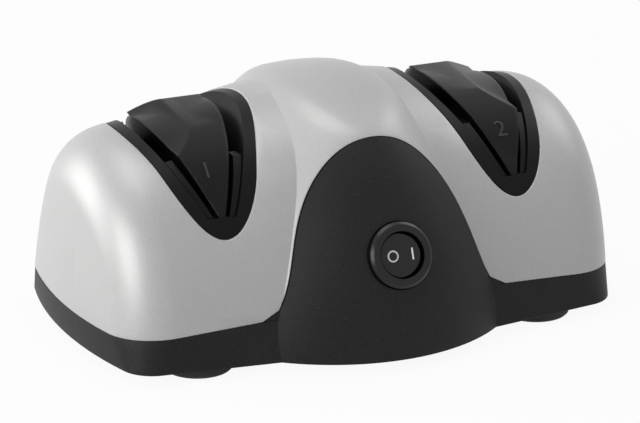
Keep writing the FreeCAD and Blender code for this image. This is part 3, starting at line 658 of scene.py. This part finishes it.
@dataclass
class RockerSwitch:
    """The round bezel, the rocker and the printed marks O and I."""

    front_y: float = -75.98 * MM
    centre_z: float = 44.0 * MM
    lean_deg: float = 21.5
    flush_depth: float = 0.42 * MM
    vee_x: float = -0.86 * MM
    raised_deg: float = 22.0
    off_x: float = -3.5 * MM
    on_x: float = 3.9 * MM
    mark_width: float = 0.62 * MM
    mark_height: float = 4.6 * MM
    bar_corner: float = 0.12 * MM
    ring_steps: int = 48
    ink: float = 0.03 * MM

    def frame_matrix(self) -> Matrix:
        """Find the panel's frame at the switch.

        Returns:
            The frame: X across, Y up the panel, Z outwards.
        """
        lean = math.radians(self.lean_deg)
        across = Vector((1.0, 0.0, 0.0))
        upward = Vector((0.0, math.sin(lean), math.cos(lean)))
        outward = Vector((0.0, -math.cos(lean), math.sin(lean)))
        turn = Matrix((across, upward, outward)).transposed().to_4x4()
        return Matrix.Translation((0.0, self.front_y, self.centre_z)) @ turn

    def build(self, wardrobe: Wardrobe) -> list[bpy.types.Object]:
        """Copy and smooth the switch and print its marks.

        Args:
            wardrobe: Gives body, slot and finish.

        Returns:
            The new pieces.
        """
        bezel = smoothed_copy("switch_body", "switch_bezel_skin", wardrobe)
        rocker = smoothed_copy("switch_rocker", "switch_rocker_skin", wardrobe)
        off = self.ring_mark(self.off_x)
        on = self.bar_mark(self.on_x)
        for mark in (off, on):
            wardrobe.dress(mark, WHITE_INK)
        return [bezel, rocker, off, on]

    def ring_mark(self, across: float) -> bpy.types.Object:
        """Print the O on the pressed half.

        Args:
            across: Its middle along the rocker.

        Returns:
            The mark's piece.
        """
        mesh = bmesh.new()
        outer = self.mark_height / 2
        inner = outer - self.mark_width
        corners = [(inner, 0), (outer, 0), (outer, self.ink), (inner, self.ink)]
        verts = [mesh.verts.new((x, 0.0, z)) for x, z in corners]
        section = mesh.faces.new(verts)
        bmesh.ops.spin(mesh, geom=[section, *section.edges, *section.verts], axis=(0, 0, 1), cent=(0, 0, 0),
                       angle=math.tau, steps=self.ring_steps, use_merge=True)
        # The section that was spun stays behind as a wall across the ring.
        across_ring = [face for face in mesh.faces if abs(face.normal.y) > 0.99]
        left_over = [face for face in across_ring if abs(face.calc_center_median().y) < 1e-7]
        bmesh.ops.delete(mesh, geom=[face for face in left_over if len(face.verts) == 4],
                         context="FACES_ONLY")
        bmesh.ops.remove_doubles(mesh, verts=mesh.verts, dist=1e-6)
        bmesh.ops.recalc_face_normals(mesh, faces=mesh.faces)
        place = self.frame_matrix() @ Matrix.Translation((across, 0.0, self.flush_depth))
        bmesh.ops.transform(mesh, matrix=place, verts=mesh.verts)
        return add_piece("mark_off", mesh, "rocker")

    def bar_mark(self, across: float) -> bpy.types.Object:
        """Print the I on the raised half.

        Args:
            across: Its middle along the rocker.

        Returns:
            The mark's piece.
        """
        mesh = bmesh.new()
        bmesh.ops.create_cube(mesh, size=1.0)
        bmesh.ops.scale(mesh, vec=(self.mark_width, self.mark_height, self.ink), verts=mesh.verts)
        upright = [e for e in mesh.edges if abs(e.verts[0].co.z - e.verts[1].co.z) > self.ink / 2]
        bmesh.ops.bevel(mesh, geom=upright, offset=self.bar_corner, segments=3, profile=0.5,
                        affect="EDGES", material=-1)
        raised = math.radians(self.raised_deg)
        depth = self.flush_depth + (across - self.vee_x) * math.tan(raised)
        place = (self.frame_matrix() @ Matrix.Translation((across, 0.0, depth))
                 @ Matrix.Rotation(-raised, 4, "Y") @ Matrix.Translation((0.0, 0.0, self.ink / 2)))
        bmesh.ops.transform(mesh, matrix=place, verts=mesh.verts)
        return add_piece("mark_on", mesh, "rocker")


@dataclass
class Works:
    """The motor, shaft, bearings and wheels inside."""

    round_nodes: tuple[str, ...] = ("wheel", "hub", "rotor", "drive_shaft", "spring", "motor_bush",
                                    "post_bush", "coil", "motor_bracket", "bearing_post")

    def build(self, wardrobe: Wardrobe) -> list[bpy.types.Object]:
        """Copy and smooth what is turned, wound or cast. The fasteners stay as CAD nodes.

        Args:
            wardrobe: Gives body, slot and finish.

        Returns:
            The new pieces.
        """
        return [smoothed_copy(node, node + "_skin", wardrobe)
                for node in frame["nodes"] if node.startswith(self.round_nodes)]


@dataclass(frozen=True)
class SoftLamp:
    """A square soft lamp: its place and side in metres and its power in watts."""

    name: str
    place: tuple[float, float, float]
    side: float
    power: float


@dataclass
class Studio:
    """The camera at the photograph's place, soft lamps and a white floor."""

    camera_place: tuple[float, float, float] = (-0.54308, -1.21102, 0.50422)
    aim: tuple[float, float, float] = (0.00011, 0.0, 0.03735)
    focal_px: float = 3498.4
    photo_width_px: float = 640.0
    sensor_mm: float = 36.0
    lamps: tuple[SoftLamp, ...] = (
        SoftLamp("back_left", (-1.3, 1.0, 0.4), 1.0, 13.0),
        SoftLamp("left", (-1.4, -0.4, 0.45), 0.8, 10.5),
        SoftLamp("top", (-0.2, 0.2, 1.5), 0.9, 6.0),
        SoftLamp("back_right", (1.2, 0.3, 1.1), 0.8, 4.0),
    )
    lamp_aim: tuple[float, float, float] = (0.0, 0.0, 0.05)
    room_strength: float = 0.3
    floor_half: float = 6.0
    floor_gap: float = 0.05 * MM
    floor_glow: float = 0.93

    def camera(self) -> None:
        """Place the camera."""
        data = bpy.data.cameras.new("photo_camera")
        data.sensor_fit = "HORIZONTAL"
        data.sensor_width = self.sensor_mm
        data.lens = self.sensor_mm * self.focal_px / self.photo_width_px
        camera = bpy.data.objects.new("photo_camera", data)
        bpy.context.scene.collection.objects.link(camera)
        camera.location = self.camera_place
        sight = Vector(self.aim) - Vector(self.camera_place)
        camera.rotation_euler = sight.to_track_quat("-Z", "Y").to_euler()
        bpy.context.scene.camera = camera

    def hang(self, lamp: SoftLamp) -> None:
        """Add a lamp aimed at the object.

        Args:
            lamp: The lamp.
        """
        data = bpy.data.lights.new(lamp.name, "AREA")
        data.size = lamp.side
        data.energy = lamp.power
        hung = bpy.data.objects.new(lamp.name, data)
        bpy.context.scene.collection.objects.link(hung)
        hung.location = lamp.place
        beam = Vector(self.lamp_aim) - Vector(lamp.place)
        hung.rotation_euler = beam.to_track_quat("-Z", "Y").to_euler()

    def seen_white(self, tree: bpy.types.NodeTree) -> bpy.types.NodeSocket:
        """Tell the rays of the camera, mirrors and glass from the rest.

        Args:
            tree: The node tree.

        Returns:
            A socket that is 1 for those rays and 0 for the rest.
        """
        path = add_node(tree, "ShaderNodeLightPath")
        first = add_node(tree, "ShaderNodeMath", {"operation": "MAXIMUM"},
                         {0: path.outputs["Is Camera Ray"], 1: path.outputs["Is Glossy Ray"]})
        both = add_node(tree, "ShaderNodeMath", {"operation": "MAXIMUM"},
                        {0: first.outputs[0], 1: path.outputs["Is Transmission Ray"]})
        return both.outputs[0]

    def world(self) -> None:
        """Light the room plainly, with white seen behind."""
        world = bpy.data.worlds.new("studio")
        world.use_nodes = True
        tree = world.node_tree
        tree.nodes.clear()
        seen = self.seen_white(tree)
        room = add_node(tree, "ShaderNodeBackground",
                        {"Color": linear("f2f4f6"), "Strength": self.room_strength})
        white = add_node(tree, "ShaderNodeBackground", {"Color": linear("ffffff"), "Strength": 1.0})
        mixed = add_node(tree, "ShaderNodeMixShader",
                         links={0: seen, 1: room.outputs[0], 2: white.outputs[0]})
        add_node(tree, "ShaderNodeOutputWorld", links={"Surface": mixed.outputs[0]})
        bpy.context.scene.world = world

    def floor(self) -> None:
        """Lay the floor, white to the camera but still shaded by the object."""
        mesh = bmesh.new()
        bmesh.ops.create_grid(mesh, x_segments=1, y_segments=1, size=self.floor_half)
        bmesh.ops.translate(mesh, vec=(0.0, 0.0, -self.floor_gap), verts=mesh.verts)
        data = bpy.data.meshes.new("floor")
        mesh.to_mesh(data)
        mesh.free()
        floor = bpy.data.objects.new("floor", data)
        bpy.context.scene.collection.objects.link(floor)
        material = bpy.data.materials.new("studio_floor")
        material.use_nodes = True
        tree = material.node_tree
        tree.nodes.clear()
        paper = add_node(tree, "ShaderNodeBsdfDiffuse", {"Color": linear("f0f0f0")})
        glow = add_node(tree, "ShaderNodeEmission", {"Color": linear("ffffff"), "Strength": 1.0})
        share = add_node(tree, "ShaderNodeMath", {"operation": "MULTIPLY", 1: self.floor_glow},
                         {0: self.seen_white(tree)})
        mixed = add_node(tree, "ShaderNodeMixShader",
                         links={0: share.outputs[0], 1: paper.outputs[0], 2: glow.outputs[0]})
        add_node(tree, "ShaderNodeOutputMaterial", links={"Surface": mixed.outputs[0]})
        data.materials.append(material)

    def build(self) -> None:
        """Set up the camera, the room, the floor and the lamps."""
        self.camera()
        self.world()
        self.floor()
        for lamp in self.lamps:
            self.hang(lamp)
        bpy.context.scene.view_settings.view_transform = "Standard"


def main() -> None:
    """Build the studio and every sub-assembly, and report each piece."""
    logging.basicConfig(level=logging.INFO, format="%(name)s: %(message)s")
    Studio().build()
    wardrobe = Wardrobe()
    for node in frame["nodes"]:
        wardrobe.dress_node(node)
    for assembly in (Housing(), BladeInserts(), RockerSwitch(), Works()):
        for piece in assembly.build(wardrobe):
            log.info("%s: %s, %d faces", type(assembly).__name__, piece.name, len(piece.data.polygons))


if __name__ == "__main__":
    main()
